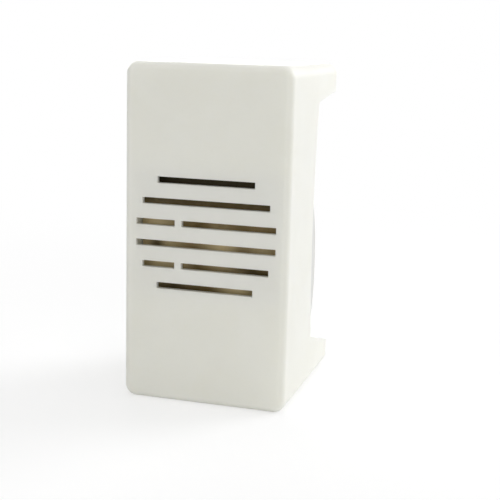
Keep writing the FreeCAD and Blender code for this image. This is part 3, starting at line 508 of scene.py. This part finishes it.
def passivated():
    """Yellow passivated steel of the armature: olive with stains, and painted shade darkening its
    top.
    """
    if "passivated_steel" in bpy.data.materials:
        return bpy.data.materials["passivated_steel"]
    olive = colour_of("magnet", "olive")
    bronze = colour_of("magnet", "bronze")
    tones = {"straw": colour_of("magnet", "straw"), "dull": darkened(olive, 0.5), "bronze": bronze}
    finish, tree, shader, place = new_finish("passivated_steel")
    body = use_group(tree, worked_metal(), Place=place, Colour=olive, Patch=bronze,
                     Stretch=(6.0, 1.0, 1.0), Streak_Scale=500.0, Patch_Scale=210.0,
                     Smooth=0.38, Rough=0.6)
    tint = body.outputs["Colour"]
    for across, height, reach, tone in STAINS:
        middle = (across / 1000, armature_front, middle_height + height / 1000)
        tint = stain(tree, place, middle, reach / 1000, tint, tones[tone])
    # Painted shade: the armature darkens towards its top
    level = put(tree, "SeparateXYZ", Vector=place).outputs["Z"]
    top_shade_share = spread(tree, level, middle_height + TOP_SHADE_START, middle_height + TOP_SHADE_FULL)
    tint = mix_colours(tree, top_shade_share, tint, colour_of("magnet", "painted_top_shade"))
    worn = use_group(tree, edge_wear(), Place=place, Colour=tint, Rubbed=(0.7, 0.66, 0.5, 1),
                     Amount=0.6)
    join(tree, worn.outputs["Colour"], shader.inputs["Base Color"])
    join(tree, body.outputs["Roughness"], shader.inputs["Roughness"])
    shader.inputs["Metallic"].default_value = 0.85
    raise_grain(tree, shader, body.outputs["Height"], distance=0.00001)
    return finish


def yoke_steel():
    return metal("yellow_zinc", (0.62, 0.55, 0.34, 1), (0.54, 0.465, 0.265, 1),
                 (0.8, 0.76, 0.6, 1), stretch=(1, 0.12, 0.12), smooth=0.34, rough=0.52)


def core_steel():
    low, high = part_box("coil_core")
    return turned_metal("turned_steel", (0.6, 0.6, 0.58, 1), (0.5, 0.49, 0.46, 1),
                        (0.8, 0.8, 0.78, 1), "Y", (low + high) / 2)


def screw_steel():
    # Strong painted shade in the heads' slots and recesses
    return metal("nickel_plate", (0.5, 0.49, 0.47, 1), (0.44, 0.43, 0.41, 1),
                 (0.78, 0.78, 0.76, 1), patches=500.0, smooth=0.34, rough=0.45, wear=0.2,
                 edge=0.00008, dirt=0.85, depth=0.000002)


def clamp_steel():
    """Zinc plated clamp with pressed grooves across the way the wire lies."""
    if "zinc_plate" in bpy.data.materials:
        return bpy.data.materials["zinc_plate"]
    # Painted shade in the clamp's recesses
    finish = metal("zinc_plate", (0.42, 0.41, 0.37, 1), (0.36, 0.35, 0.31, 1),
                   (0.7, 0.7, 0.66, 1), smooth=0.3, rough=0.46, edge=0.0001, dirt=0.5)
    tree, shader, place = opened(finish)
    grooves = put(tree, "TexWave", {"bands_direction": "Z"}, Vector=place, Scale=420.0)
    raise_grain(tree, shader, grooves.outputs["Fac"], distance=0.00004)
    return finish


def terminal_brass():
    return metal("pressed_brass", (0.8, 0.62, 0.3, 1), (0.66, 0.48, 0.2, 1),
                 (0.9, 0.78, 0.5, 1), stretch=(0.15, 1, 1), smooth=0.24, rough=0.42)


def rivet_brass():
    return metal("bright_brass", (0.78, 0.6, 0.29, 1), (0.62, 0.45, 0.2, 1),
                 (0.9, 0.78, 0.5, 1), patches=700.0, smooth=0.18, rough=0.34)


def spring_bronze():
    return metal("rolled_bronze", (0.72, 0.5, 0.28, 1), (0.6, 0.4, 0.2, 1),
                 (0.86, 0.68, 0.45, 1), stretch=(1, 0.08, 0.08), streak=4000.0,
                 smooth=0.2, rough=0.38)


def tinned_pin():
    return metal("tin_plate", (0.74, 0.74, 0.72, 1), (0.6, 0.6, 0.58, 1),
                 (0.86, 0.86, 0.85, 1), patches=900.0, smooth=0.24, rough=0.4)


def enamelled(name):
    """Copper wire under clear enamel."""
    if name in bpy.data.materials:
        return bpy.data.materials[name]
    copper = colour_of("magnet", "copper")
    finish = metal(name, copper, darkened(copper, 0.8), (0.8, 0.45, 0.25, 1),
                   patches=500.0, smooth=0.22, rough=0.35, wear=0.2)
    shader = finish.node_tree.nodes["Principled BSDF"]
    shader.inputs["Coat Weight"].default_value = 0.6
    shader.inputs["Coat Roughness"].default_value = 0.15
    return finish


def film_tape():
    """Yellow polyester film, with faint wrinkles along its width."""
    if "film_tape" in bpy.data.materials:
        return bpy.data.materials["film_tape"]
    finish, tree, shader, place = new_finish("film_tape")
    body = use_group(tree, moulded_surface(), Place=place, Colour=(0.83, 0.6, 0.12, 1),
                     Shade=(0.74, 0.47, 0.07, 1), Grain_Scale=1500.0, Smooth=0.16, Rough=0.34)
    drawn = put(tree, "Mapping", Vector=place, Scale=(1.0, 0.12, 1.0))
    wrinkle = put(tree, "TexNoise", Vector=drawn.outputs[0], Scale=900.0, Detail=3.0)
    join(tree, body.outputs["Colour"], shader.inputs["Base Color"])
    join(tree, body.outputs["Roughness"], shader.inputs["Roughness"])
    shader.inputs["Coat Weight"].default_value = 0.3
    raise_grain(tree, shader, wrinkle.outputs[0], distance=0.00003)
    return finish


# Meshes
def merged_copy(node):
    """A CAD node's surface as one closed mesh: its corners merged and its flat faces joined."""
    surface = bmesh.new()
    surface.from_mesh(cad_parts[node].data)
    bmesh.ops.remove_doubles(surface, verts=surface.verts, dist=MERGE_GAP)
    bmesh.ops.dissolve_limit(surface, angle_limit=FLAT_ANGLE, use_dissolve_boundaries=False,
                             verts=surface.verts, edges=surface.edges)
    return surface


def new_piece(surface, name, finish):
    """An object at the origin with the mesh and its material."""
    mesh = bpy.data.meshes.new(name)
    surface.to_mesh(mesh)
    surface.free()
    mesh.shade_smooth()
    mesh.materials.append(finish)
    piece = bpy.data.objects.new(name, mesh)
    bpy.context.scene.collection.objects.link(piece)
    return piece


def soften(piece, radius):
    """Round the sharp edges and keep flat faces looking flat."""
    bevel = piece.modifiers.new("Rounding", "BEVEL")
    bevel.width = radius
    bevel.segments = 2
    bevel.profile = 0.5
    bevel.limit_method = "ANGLE"
    bevel.angle_limit = SHARP_ANGLE
    bevel.use_clamp_overlap = True
    keep_flats(piece)


def keep_flats(piece):
    """Keep flat faces looking flat beside rounded edges."""
    weights = piece.modifiers.new("Flatness", "WEIGHTED_NORMAL")
    weights.keep_sharp = True


def stand_for(piece, nodes, body):
    """Let a piece move with a body and stand for CAD nodes, which it hides."""
    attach(piece, body)
    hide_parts(*nodes)


def dressed_copy(node, name, finish, body, radius):
    """A piece shaped as its CAD node, with rounded edges, that stands for the node."""
    piece = new_piece(merged_copy(node), name, finish)
    soften(piece, radius)
    stand_for(piece, [node], body)


def foot_of(node, axis):
    """The middle of the end of a node's box at which the axis, BACKWARD or UPWARD, sets out."""
    low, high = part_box(node)
    foot = (low + high) / 2
    along = axis.index(1)
    foot[along] = low[along]
    return foot


def sleeve(bore, outer, run):
    """The closed outline of a hollow round shape."""
    return [(bore, 0.0), (outer, 0.0), (outer, run), (bore, run), (bore, 0.0)]


def section(foot, outline):
    """Corners beside a round piece. outline holds (radius, distance along the axis)."""
    return [foot + Vector((radius, along, 0)) for radius, along in outline]


def add_part(surface, part):
    """Close a part's seams, turn its faces outwards and add it to a surface."""
    bmesh.ops.remove_doubles(part, verts=part.verts, dist=MERGE_GAP)
    bmesh.ops.holes_fill(part, edges=part.edges, sides=0)
    bmesh.ops.recalc_face_normals(part, faces=part.faces)
    carrier = bpy.data.meshes.new("part")
    part.to_mesh(carrier)
    part.free()
    surface.from_mesh(carrier)
    bpy.data.meshes.remove(carrier)


def turned_shape(surface, outline, centre, axis):
    """A closed round shape. outline holds (radius, distance along the axis) from the centre."""
    axis = Vector(axis)
    aside = Vector((1, 0, 0))
    part = bmesh.new()
    points = [part.verts.new(centre + aside * radius + axis * along) for radius, along in outline]
    edges = [part.edges.new(pair) for pair in zip(points, points[1:])]
    bmesh.ops.spin(part, geom=points + edges, cent=centre, axis=axis, dvec=(0, 0, 0),
                   angle=FULL_TURN, steps=settings("terminal").round_steps, use_merge=True,
                   use_normal_flip=False, use_duplicate=False)
    add_part(surface, part)


def wound_ridge(surface, corners, centre, pitch, turns, steps):
    """A section swept backwards on a screw line, for part of a turn or for whole turns."""
    axis = Vector(BACKWARD)
    part = bmesh.new()
    points = [part.verts.new(corner) for corner in corners]
    loop = [part.edges.new((points[number - 1], points[number])) for number in range(len(points))]
    count = round(steps * min(turns, 1))
    bmesh.ops.spin(part, geom=points + loop, cent=centre, axis=axis, dvec=axis * pitch / steps,
                   angle=FULL_TURN * count / steps, steps=count, use_merge=False,
                   use_normal_flip=False, use_duplicate=False)
    turn = [*part.verts, *part.edges, *part.faces]
    for number in range(1, int(turns)):
        made = bmesh.ops.duplicate(part, geom=turn)["geom"]
        moved = [item for item in made if isinstance(item, bmesh.types.BMVert)]
        bmesh.ops.translate(part, verts=moved, vec=axis * pitch * number)
    add_part(surface, part)


def heads_only(node, under_head, radius):
    """The heads of a node's CAD screws, cut off and closed underneath, their edges rounded."""
    surface = merged_copy(node)
    margin = 1e-5
    shank = [point for point in surface.verts if point.co.y < under_head - margin]
    bmesh.ops.delete(surface, geom=shank, context="VERTS")
    open_edges = [edge for edge in surface.edges if edge.is_boundary]
    bmesh.ops.edgeloop_fill(surface, edges=open_edges)
    sharp = [edge for edge in surface.edges if edge.calc_face_angle(0) > SHARP_ANGLE]
    bmesh.ops.bevel(surface, geom=sharp, offset=radius, offset_type="OFFSET", segments=2,
                    profile=0.5, affect="EDGES", clamp_overlap=True, material=-1)
    return surface


# A thread's shares: half its foot of its pitch, half its crest of that, its height of its depth
THREAD_FOOT = 0.42
THREAD_CREST = 0.2
THREAD_HEIGHT = 1.1
THREAD_STEPS = 32

# The length of a tapping screw's point, in depths of its thread
POINT_LENGTH = 3


def threaded_shank(surface, foot, run, outer, pitch, depth, tip=None):
    """A shank and its thread, from the foot to the head. tip is the radius of a tapping point."""
    core = outer - depth
    point = depth if tip is None else POINT_LENGTH * depth
    end = core - depth if tip is None else tip
    turned_shape(surface, [(0, 0), (end, 0), (core, point), (core, run), (0, run)], foot, BACKWARD)
    root = outer - THREAD_HEIGHT * depth
    half = pitch * THREAD_FOOT
    crest = THREAD_CREST * half
    start = point + half
    corners = section(foot, ((root, start - half), (outer, start - crest),
                             (outer, start + crest), (root, start + half)))
    wound_ridge(surface, corners, foot, pitch, (run - start - half) / pitch, THREAD_STEPS)


class BUZZER_OT_front_cover(bpy.types.Operator):
    """Slotted white cover with moulded edges"""

    bl_idname = "buzzer.front_cover"
    bl_label = "Front cover"

    def execute(self, context):
        radius = settings("shell").edge_round
        dressed_copy("front_cover", "cover", cover_plastic(), "housing", radius)
        return {"FINISHED"}


class BUZZER_OT_rear_base(bpy.types.Operator):
    """Moulded base that closes the cover from behind"""

    bl_idname = "buzzer.rear_base"
    bl_label = "Rear base"

    def execute(self, context):
        radius = settings("shell").edge_round
        dressed_copy("rear_base", "base", base_plastic(), "housing", radius)
        return {"FINISHED"}


# Rivets in mm: the radius of a head, and each outline as (radius, distance along the rivet)
RIVET_HEAD = 1.3
TONGUE_RIVET = (
    (0, 0), (0.7, 0.04), (1.05, 0.13), (1.24, 0.26), (RIVET_HEAD, 0.4), (0.8, 0.4),
    (0.8, 1.65), (1.1, 1.65), (1.05, 1.88), (0.8, 2.01), (0, 2.05),
)
LEG_RIVET = (
    (0, 0), (0.8, 0), (0.8, 1.85), (RIVET_HEAD, 1.85), (1.24, 1.99), (1.05, 2.12),
    (0.7, 2.21), (0, 2.25),
)


class BUZZER_OT_armature(bpy.types.Operator):
    """Steel plate behind the slots, its leaf spring and their rivets"""

    bl_idname = "buzzer.armature"
    bl_label = "Armature and spring"

    def execute(self, context):
        radius = settings("magnet").sheet_round
        dressed_copy("armature", "striker_plate", passivated(), "armature",
                     radius)
        self.spring(radius)
        self.rivets("armature_rivets", "tongue_rivets", TONGUE_RIVET, BACKWARD, "armature")
        self.rivets("spring_rivets", "leg_rivets", LEG_RIVET, UPWARD, "housing")
        return {"FINISHED"}

    def spring(self, radius):
        piece = new_piece(merged_copy("armature_spring"), "leaf_spring", spring_bronze())
        soften(piece, radius)
        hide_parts("armature_spring")
        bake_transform(piece)

    def rivets(self, node, name, outline, axis, body):
        """Two rivets along an axis, one at each side of a node's box."""
        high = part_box(node)[1]
        surface = bmesh.new()
        for side in (-1, 1):
            centre = foot_of(node, axis)
            centre.x = side * (high.x - RIVET_HEAD / 1000)
            turned_shape(surface, [(r / 1000, d / 1000) for r, d in outline], centre, axis)
        piece = new_piece(surface, name, rivet_brass())
        soften(piece, settings("magnet").rivet_round)
        stand_for(piece, [node], body)


class BUZZER_OT_magnet(bpy.types.Operator):
    """Yoke, pole, bobbin and pins"""

    bl_idname = "buzzer.magnet"
    bl_label = "Magnet frame"

    def execute(self, context):
        radius = settings("magnet").sheet_round
        dressed_copy("yoke_frame", "yoke", yoke_steel(), "housing", 2 * radius)
        dressed_copy("coil_core", "pole", core_steel(), "housing", radius)
        dressed_copy("coil_bobbin", "bobbin", nylon(), "housing", 2 * radius)
        dressed_copy("bobbin_pins", "pins", tinned_pin(), "housing", radius)
        return {"FINISHED"}


# The winding: its bore, its pitch in radii of the wire, the wire's sides and the steps of a turn
WINDING_BORE = 0.00342
WIRE_PITCH = 2.04
WIRE_SIDES = 8
WIRE_STEPS = 40

# The tape: its whole thickness, one ply, how far the lap stays from the sides, and its steps
TAPE_THICKNESS = 0.0002
TAPE_PLY = 0.00006
TAPE_INSET = 0.00008
TAPE_STEPS = 64


class BUZZER_OT_winding(bpy.types.Operator):
    """Copper winding, laid turn by turn, and the tape round it"""

    bl_idname = "buzzer.winding"
    bl_label = "Winding and tape"

    def execute(self, context):
        self.winding()
        self.tape()
        return {"FINISHED"}

    def winding(self):
        low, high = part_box("coil_winding")
        wire = settings("magnet").wire_radius
        centre = foot_of("coil_winding", BACKWARD)
        laid = (high.x - low.x) / 2 - wire
        run = high.y - low.y
        surface = bmesh.new()
        turned_shape(surface, sleeve(WINDING_BORE, laid, run), centre, BACKWARD)
        lay = centre + Vector((laid, wire, 0))
        corners = []
        for number in range(WIRE_SIDES):
            turn = FULL_TURN * number / WIRE_SIDES
            corners.append(lay + Vector((math.cos(turn), math.sin(turn), 0)) * wire)
        pitch = WIRE_PITCH * wire
        wound_ridge(surface, corners, centre, pitch, (run - 2 * wire) / pitch, WIRE_STEPS)
        piece = new_piece(surface, "winding", enamelled("winding_enamel"))
        stand_for(piece, ["coil_winding"], "housing")

    def tape(self):
        low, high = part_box("coil_tape")
        centre = foot_of("coil_tape", BACKWARD)
        outer = (high.x - low.x) / 2
        under = outer - TAPE_PLY
        run = high.y - low.y
        surface = bmesh.new()
        turned_shape(surface, sleeve(outer - TAPE_THICKNESS, under, run), centre, BACKWARD)
        far = run - TAPE_INSET
        corners = section(centre, ((under, TAPE_INSET), (outer, TAPE_INSET), (outer, far),
                                   (under, far)))
        lap = settings("magnet").tape_lap / FULL_TURN
        wound_ridge(surface, corners, centre, 0.0, lap, TAPE_STEPS)
        piece = new_piece(surface, "tape", film_tape())
        soften(piece, settings("magnet").tape_round)
        stand_for(piece, ["coil_tape"], "housing")


class BUZZER_OT_terminals(bpy.types.Operator):
    """Terminal plates, clamps and screws"""

    bl_idname = "buzzer.terminals"
    bl_label = "Terminals"

    def execute(self, context):
        radius = settings("terminal").metal_round
        for hand in ("left", "right"):
            dressed_copy(f"terminal_plate_{hand}", f"contact_{hand}", terminal_brass(),
                         "housing", radius)
            dressed_copy(f"clamp_plate_{hand}", f"clamp_{hand}", clamp_steel(),
                         f"clamp_{hand}", radius)
            self.screw(hand, radius)
        return {"FINISHED"}

    def screw(self, hand, radius):
        """The slotted head of the CAD screw on a new shank with a thread."""
        values = settings("terminal")
        node = f"terminal_screw_{hand}"
        low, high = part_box(node)
        under_head = high.y - values.terminal_head
        surface = heads_only(node, under_head, radius)
        threaded_shank(surface, foot_of(node, BACKWARD), under_head - low.y,
                       values.terminal_radius, values.thread_pitch, values.thread_depth)
        piece = new_piece(surface, f"screw_{hand}", screw_steel())
        keep_flats(piece)
        stand_for(piece, [node], f"screw_{hand}")


class BUZZER_OT_fixings(bpy.types.Operator):
    """Screws that hold the yoke and the base"""

    bl_idname = "buzzer.fixings"
    bl_label = "Fixing screws"

    def execute(self, context):
        values = settings("terminal")
        low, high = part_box("yoke_screws")
        level = (low.z + high.z) / 2
        inset = (high.z - low.z) / 2
        places = [(low.x + inset, level), (high.x - inset, level)]
        self.pair("yoke_screws", "yoke_fixings", places, values.machine_pitch,
                  values.machine_depth)
        low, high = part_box("base_screws")
        across = (low.x + high.x) / 2
        inset = (high.x - low.x) / 2
        places = [(across, low.z + inset), (across, high.z - inset)]
        self.pair("base_screws", "base_fixings", places, values.tapping_pitch,
                  values.tapping_depth, values.tapping_tip)
        return {"FINISHED"}

    def pair(self, node, name, places, pitch, depth, tip=None):
        """The heads of two CAD screws on new shanks with a thread."""
        values = settings("terminal")
        low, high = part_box(node)
        under_head = high.y - values.fixing_head
        surface = heads_only(node, under_head, values.metal_round)
        for across, level in places:
            threaded_shank(surface, Vector((across, low.y, level)), under_head - low.y,
                           values.fixing_radius, pitch, depth, tip)
        piece = new_piece(surface, name, screw_steel())
        keep_flats(piece)
        stand_for(piece, [node], "housing")


class BUZZER_OT_stop_pad(bpy.types.Operator):
    """Rubber stop behind the cover"""

    bl_idname = "buzzer.stop_pad"
    bl_label = "Rubber stop"

    def execute(self, context):
        radius = settings("magnet").pad_round
        dressed_copy("backstop_pad", "stop_pad", rubber(), "housing", radius)
        return {"FINISHED"}


# A lead's bend: how far out and how far up each of its points lies, as shares of the lead's rise
LEAD_BEND = ((0, 0.72), (0.08, 0.38), (0.38, 0.08), (0.72, 0))


class BUZZER_OT_leads(bpy.types.Operator):
    """Thin wires from the bobbin's pins to the terminals"""

    bl_idname = "buzzer.leads"
    bl_label = "Leads"

    def execute(self, context):
        for hand, side in (("left", -1), ("right", 1)):
            self.lead(hand, side)
        return {"FINISHED"}

    def lead(self, hand, side):
        """A wire that leaves its pin downwards and bends outwards to its terminal."""
        low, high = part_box(f"coil_lead_{hand}")
        radius = (high.y - low.y) / 2
        inner, outer = (low.x, high.x) if side > 0 else (high.x, low.x)
        depth = (low.y + high.y) / 2
        bottom = low.z + radius
        rise = high.z - bottom
        start = inner + side * radius
        route = [(start, high.z)]
        for out, up in LEAD_BEND:
            route.append((start + side * rise * out, bottom + rise * up))
        route.append((outer, bottom))
        line = bpy.data.curves.new(f"lead_{hand}", "CURVE")
        line.dimensions = "3D"
        line.bevel_depth = radius
        line.bevel_resolution = 4
        line.use_fill_caps = True
        spline = line.splines.new("NURBS")
        spline.points.add(len(route) - 1)
        for point, (across, height) in zip(spline.points, route):
            point.co = (across, depth, height, 1)
        spline.order_u = 3
        spline.use_endpoint_u = True
        spline.resolution_u = 8
        line.materials.append(enamelled("lead_enamel"))
        piece = bpy.data.objects.new(f"lead_{hand}", line)
        bpy.context.scene.collection.objects.link(piece)
        stand_for(piece, [f"coil_lead_{hand}"], "housing")


# Each lamp's name, place, size and tint
LAMPS = (
    ("side", (0.52, 0.46, 0.3), 0.5, (0.98, 0.985, 1)),
    ("front", (0.4, -0.71, 0.16), 0.6, (1, 0.995, 0.94)),
    ("left", (-0.55, -0.45, 0.12), 0.5, (1, 1, 1)),
    ("top", (0.05, 0.05, 0.7), 0.5, (1, 1, 1)),
    ("rear", (-0.32, 0.6, 0.12), 0.5, (1, 1, 1)),
)

# Distances from the module's foot between which the floor fades into the white background
FADE_START = 0.04
FADE_END = 0.16

# The camera's sensor in mm, and the nearest and farthest point that it sees
SENSOR_WIDTH = 36
NEAREST = 0.005
FARTHEST = 20


class BUZZER_OT_studio(bpy.types.Operator):
    """Pale floor, soft lamps and the camera"""

    bl_idname = "buzzer.studio"
    bl_label = "Studio"

    def execute(self, context):
        values = settings("studio")
        scene = context.scene
        scene.view_settings.view_transform = "Standard"
        self.world(scene, values.ambient)
        self.floor(values.floor_size)
        for name, place, size, tint in LAMPS:
            energy = getattr(values, f"{name}_power")
            self.lamp(f"{name}_lamp", Vector(place), size, energy, tint)
        self.camera(scene, values)
        return {"FINISHED"}

    def seen(self, tree):
        """1 for what the camera, a gloss or glass sees, and 0 for the light on the module."""
        ray = put(tree, "LightPath")
        looks = calculate(tree, "MAXIMUM", ray.outputs["Is Camera Ray"],
                          ray.outputs["Is Glossy Ray"])
        return calculate(tree, "MAXIMUM", looks, ray.outputs["Is Transmission Ray"])

    def world(self, scene, ambient):
        """Faint light from all round, and white where the background is seen."""
        world = bpy.data.worlds.new("studio")
        world.use_nodes = True
        tree = world.node_tree
        background = tree.nodes["Background"]
        strength = spread(tree, self.seen(tree), low=0.0, high=1.0, to_low=ambient, to_high=1.0)
        join(tree, strength, background.inputs["Strength"])
        background.inputs["Color"].default_value = (1, 1, 1, 1)
        scene.world = world

    def floor(self, size):
        surface = bmesh.new()
        bmesh.ops.create_grid(surface, x_segments=1, y_segments=1, size=size / 2)
        floor = new_piece(surface, "floor", self.floor_paint())

    def floor_paint(self):
        """White that keeps a soft shadow near the module and fades into the background."""
        paint = bpy.data.materials.new("floor_paint")
        paint.use_nodes = True
        tree = paint.node_tree
        tree.nodes.clear()
        place = put(tree, "TexCoord").outputs["Object"]
        away = vector_math(tree, "LENGTH", place).outputs["Value"]
        plain = put(tree, "BsdfDiffuse", Color=(0.93, 0.93, 0.92, 1))
        shaded = put(tree, "BsdfDiffuse", Color=(0.5, 0.5, 0.5, 1))
        glow = put(tree, "Emission", Color=(1, 1, 1, 1), Strength=0.565)
        white = put(tree, "Emission", Color=(1, 1, 1, 1), Strength=1.0)
        near = put(tree, "AddShader")
        join(tree, shaded.outputs[0], near.inputs[0])
        join(tree, glow.outputs[0], near.inputs[1])
        fade = mix_shaders(tree, spread(tree, away, FADE_START, FADE_END), near, white)
        choice = mix_shaders(tree, self.seen(tree), plain, fade)
        end = put(tree, "OutputMaterial")
        join(tree, choice.outputs[0], end.inputs["Surface"])
        return paint

    def lamp(self, name, place, size, energy, tint):
        """A soft round lamp that faces the middle of the module."""
        light = bpy.data.lights.new(name, "AREA")
        light.shape = "DISK"
        light.size = size
        light.energy = energy
        light.color = tint
        lamp = bpy.data.objects.new(name, light)
        lamp.location = place
        towards = Vector((0, 0, middle_height)) - place
        lamp.rotation_euler = towards.to_track_quat("-Z", "Y").to_euler()
        bpy.context.scene.collection.objects.link(lamp)

    def camera(self, scene, values):
        """A camera at the settings' place, turned by their azimuth, elevation and roll."""
        turn, rise, roll = values.azimuth, values.elevation, values.roll
        flat = math.cos(rise)
        back = Vector((math.sin(turn) * flat, -math.cos(turn) * flat, math.sin(rise)))
        level = Vector(UPWARD).cross(back).normalized()
        upright = back.cross(level)
        right = math.cos(roll) * level + math.sin(roll) * upright
        up = math.cos(roll) * upright - math.sin(roll) * level
        eye = bpy.data.cameras.new("camera")
        eye.lens = values.lens
        eye.sensor_width = SENSOR_WIDTH
        eye.clip_start = NEAREST
        eye.clip_end = FARTHEST
        camera = bpy.data.objects.new("camera", eye)
        scene.collection.objects.link(camera)
        stance = Matrix((right, up, back)).transposed().to_4x4()
        stance.translation = Vector(values.camera_place)
        camera.matrix_world = stance
        scene.camera = camera


STEPS = (
    BUZZER_OT_studio,
    BUZZER_OT_front_cover,
    BUZZER_OT_rear_base,
    BUZZER_OT_armature,
    BUZZER_OT_magnet,
    BUZZER_OT_winding,
    BUZZER_OT_terminals,
    BUZZER_OT_fixings,
    BUZZER_OT_stop_pad,
    BUZZER_OT_leads,
)
GROUPS = {
    "shell": BuzzerShellSettings,
    "magnet": BuzzerMagnetSettings,
    "terminal": BuzzerTerminalSettings,
    "studio": BuzzerStudioSettings,
}


class BUZZER_PT_panel(bpy.types.Panel):
    """Steps that make the buzzer"""

    bl_idname = "BUZZER_PT_panel"
    bl_label = "Electric buzzer"
    bl_space_type = "VIEW_3D"
    bl_region_type = "UI"
    bl_category = "Buzzer"

    def draw(self, context):
        for step in STEPS:
            self.layout.operator(step.bl_idname)
        for group, kind in GROUPS.items():
            values = settings(group)
            box = self.layout.box()
            for name in kind.__annotations__:
                box.prop(values, name)


def register():
    for kind in (*GROUPS.values(), *STEPS, BUZZER_PT_panel):
        bpy.utils.register_class(kind)
    for group, kind in GROUPS.items():
        setattr(bpy.types.Scene, f"buzzer_{group}", PointerProperty(type=kind))


def unregister():
    for group in GROUPS:
        delattr(bpy.types.Scene, f"buzzer_{group}")
    for kind in reversed((*GROUPS.values(), *STEPS, BUZZER_PT_panel)):
        bpy.utils.unregister_class(kind)


def main():
    register()
    for step in STEPS:
        family, name = step.bl_idname.split(".")
        getattr(getattr(bpy.ops, family), name)()


if __name__ == "__main__":
    main()
